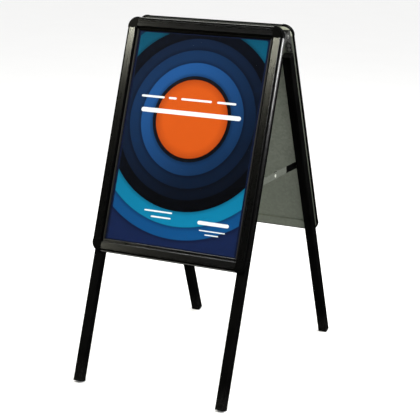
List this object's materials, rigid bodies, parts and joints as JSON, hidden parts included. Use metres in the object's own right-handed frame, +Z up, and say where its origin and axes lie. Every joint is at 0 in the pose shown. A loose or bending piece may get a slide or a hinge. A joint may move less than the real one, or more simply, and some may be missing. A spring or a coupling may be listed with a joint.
{
  "type": "poster A-board",
  "caption": "Folding two-sided poster board: two A2 snap frames on square-tube legs, hinged near the top and held open by folding stays.",
  "frame": {"origin": "on the ground, in the middle of the four feet", "axes": "+Z up, +X along the boards to the right as seen from the front board, -Y towards the viewer of the front board"},
  "size_m": [0.468, 0.714, 0.9574],
  "materials": {
    "frame_coating": "satin black powder coat on aluminium",
    "leg_coating": "black powder coat on steel tube",
    "corner_moulding": "fine-textured black moulding",
    "plug_moulding": "black moulding",
    "galvanised_sheet": "galvanised, dull",
    "bracket_steel": "zinc plated",
    "stay_steel": "galvanised",
    "stay_coating": "black coating",
    "rivet_steel": "zinc plated",
    "spring_steel": "oiled spring steel",
    "printed_sheet": "printed, semi-matt",
    "clear_sheet": "clear, anti-glare"
  },
  "bodies": {
    "front_board": {"front_left_base_rail": "frame_coating", "front_right_base_rail": "frame_coating", "front_top_base_rail": "frame_coating", "front_bottom_base_rail": "frame_coating", "front_upper_left_corner": "corner_moulding", "front_lower_left_corner": "corner_moulding", "front_left_leg": "leg_coating", "front_left_hinge_bracket": "bracket_steel", "front_upper_right_corner": "corner_moulding", "front_lower_right_corner": "corner_moulding", "front_right_leg": "leg_coating", "front_right_hinge_bracket": "bracket_steel", "front_lid_springs": "spring_steel", "front_backing_tray": "galvanised_sheet", "front_poster": "printed_sheet", "front_clear_cover": "clear_sheet", "front_leg_caps": "plug_moulding", "front_foot_plugs": "plug_moulding", "front_leg_rivets": "rivet_steel", "front_hinge_rivets": "rivet_steel", "front_stay_leg_rivets": "rivet_steel", "left_hinge_pin": "rivet_steel", "right_hinge_pin": "rivet_steel"},
    "front_left_lid": {"front_left_snap_lid": "frame_coating"},
    "front_right_lid": {"front_right_snap_lid": "frame_coating"},
    "front_top_lid": {"front_top_snap_lid": "frame_coating"},
    "front_bottom_lid": {"front_bottom_snap_lid": "frame_coating"},
    "rear_board": {"rear_left_base_rail": "frame_coating", "rear_right_base_rail": "frame_coating", "rear_top_base_rail": "frame_coating", "rear_bottom_base_rail": "frame_coating", "rear_upper_left_corner": "corner_moulding", "rear_lower_left_corner": "corner_moulding", "rear_left_leg": "leg_coating", "rear_left_hinge_bracket": "bracket_steel", "rear_upper_right_corner": "corner_moulding", "rear_lower_right_corner": "corner_moulding", "rear_right_leg": "leg_coating", "rear_right_hinge_bracket": "bracket_steel", "rear_lid_springs": "spring_steel", "rear_backing_tray": "galvanised_sheet", "rear_poster": "printed_sheet", "rear_clear_cover": "clear_sheet", "rear_leg_caps": "plug_moulding", "rear_foot_plugs": "plug_moulding", "rear_leg_rivets": "rivet_steel", "rear_hinge_rivets": "rivet_steel", "rear_stay_leg_rivets": "rivet_steel"},
    "rear_left_lid": {"rear_left_snap_lid": "frame_coating"},
    "rear_right_lid": {"rear_right_snap_lid": "frame_coating"},
    "rear_top_lid": {"rear_top_snap_lid": "frame_coating"},
    "rear_bottom_lid": {"rear_bottom_snap_lid": "frame_coating"},
    "left_front_link": {"left_front_stay_link": "stay_steel"},
    "left_rear_link": {"left_rear_stay_link": "stay_coating", "left_stay_middle_rivet": "rivet_steel"},
    "right_front_link": {"right_front_stay_link": "stay_steel"},
    "right_rear_link": {"right_rear_stay_link": "stay_coating", "right_stay_middle_rivet": "rivet_steel"}
  },
  "joints": [
    {"name": "board_fold", "type": "hinge", "parent": "front_board", "child": "rear_board", "pos_m": [0, 0, 0.92759], "axis": [-1, 0, 0], "range_deg": [0, 39.4]},
    {"name": "left_front_stay_pivot", "type": "hinge", "parent": "front_board", "child": "left_front_link", "pos_m": [-0.2, -0.149, 0.55025], "axis": [1, 0, 0], "range_deg": [0, 65.31]},
    {"name": "left_rear_stay_pivot", "type": "hinge", "parent": "rear_board", "child": "left_rear_link", "pos_m": [-0.2, 0.149, 0.55025], "axis": [-1, 0, 0], "range_deg": [0, 65.31]},
    {"name": "right_front_stay_pivot", "type": "hinge", "parent": "front_board", "child": "right_front_link", "pos_m": [0.2, -0.149, 0.55025], "axis": [1, 0, 0], "range_deg": [0, 65.31]},
    {"name": "right_rear_stay_pivot", "type": "hinge", "parent": "rear_board", "child": "right_rear_link", "pos_m": [0.2, 0.149, 0.55025], "axis": [-1, 0, 0], "range_deg": [0, 65.31]},
    {"name": "front_left_lid_hinge", "type": "hinge", "parent": "front_board", "child": "front_left_lid", "pos_m": [-0.2274, -0.1372, 0.65171], "axis": [0, -0.3371, -0.9415], "range_deg": [0, 80], "stiffness_Nm_per_rad": 0.06},
    {"name": "front_right_lid_hinge", "type": "hinge", "parent": "front_board", "child": "front_right_lid", "pos_m": [0.2274, -0.1372, 0.65171], "axis": [0, 0.3371, 0.9415], "range_deg": [0, 80], "stiffness_Nm_per_rad": 0.06},
    {"name": "front_top_lid_hinge", "type": "hinge", "parent": "front_board", "child": "front_top_lid", "pos_m": [0, -0.0297, 0.95195], "axis": [-1, 0, 0], "range_deg": [0, 80], "stiffness_Nm_per_rad": 0.06},
    {"name": "front_bottom_lid_hinge", "type": "hinge", "parent": "front_board", "child": "front_bottom_lid", "pos_m": [0, -0.2447, 0.35148], "axis": [1, 0, 0], "range_deg": [0, 80], "stiffness_Nm_per_rad": 0.06},
    {"name": "rear_left_lid_hinge", "type": "hinge", "parent": "rear_board", "child": "rear_left_lid", "pos_m": [-0.2274, 0.1372, 0.65171], "axis": [0, -0.3371, 0.9415], "range_deg": [0, 80], "stiffness_Nm_per_rad": 0.06},
    {"name": "rear_right_lid_hinge", "type": "hinge", "parent": "rear_board", "child": "rear_right_lid", "pos_m": [0.2274, 0.1372, 0.65171], "axis": [0, 0.3371, -0.9415], "range_deg": [0, 80], "stiffness_Nm_per_rad": 0.06},
    {"name": "rear_top_lid_hinge", "type": "hinge", "parent": "rear_board", "child": "rear_top_lid", "pos_m": [0, 0.0297, 0.95195], "axis": [1, 0, 0], "range_deg": [0, 80], "stiffness_Nm_per_rad": 0.06},
    {"name": "rear_bottom_lid_hinge", "type": "hinge", "parent": "rear_board", "child": "rear_bottom_lid", "pos_m": [0, 0.2447, 0.35148], "axis": [-1, 0, 0], "range_deg": [0, 80], "stiffness_Nm_per_rad": 0.06}
  ],
  "couplings": [
    {"joint": "left_front_stay_pivot", "follows": "board_fold", "ratio": 1.6565},
    {"joint": "left_rear_stay_pivot", "follows": "board_fold", "ratio": 1.6565},
    {"joint": "right_front_stay_pivot", "follows": "board_fold", "ratio": 1.6565},
    {"joint": "right_rear_stay_pivot", "follows": "board_fold", "ratio": 1.6565}
  ]
}
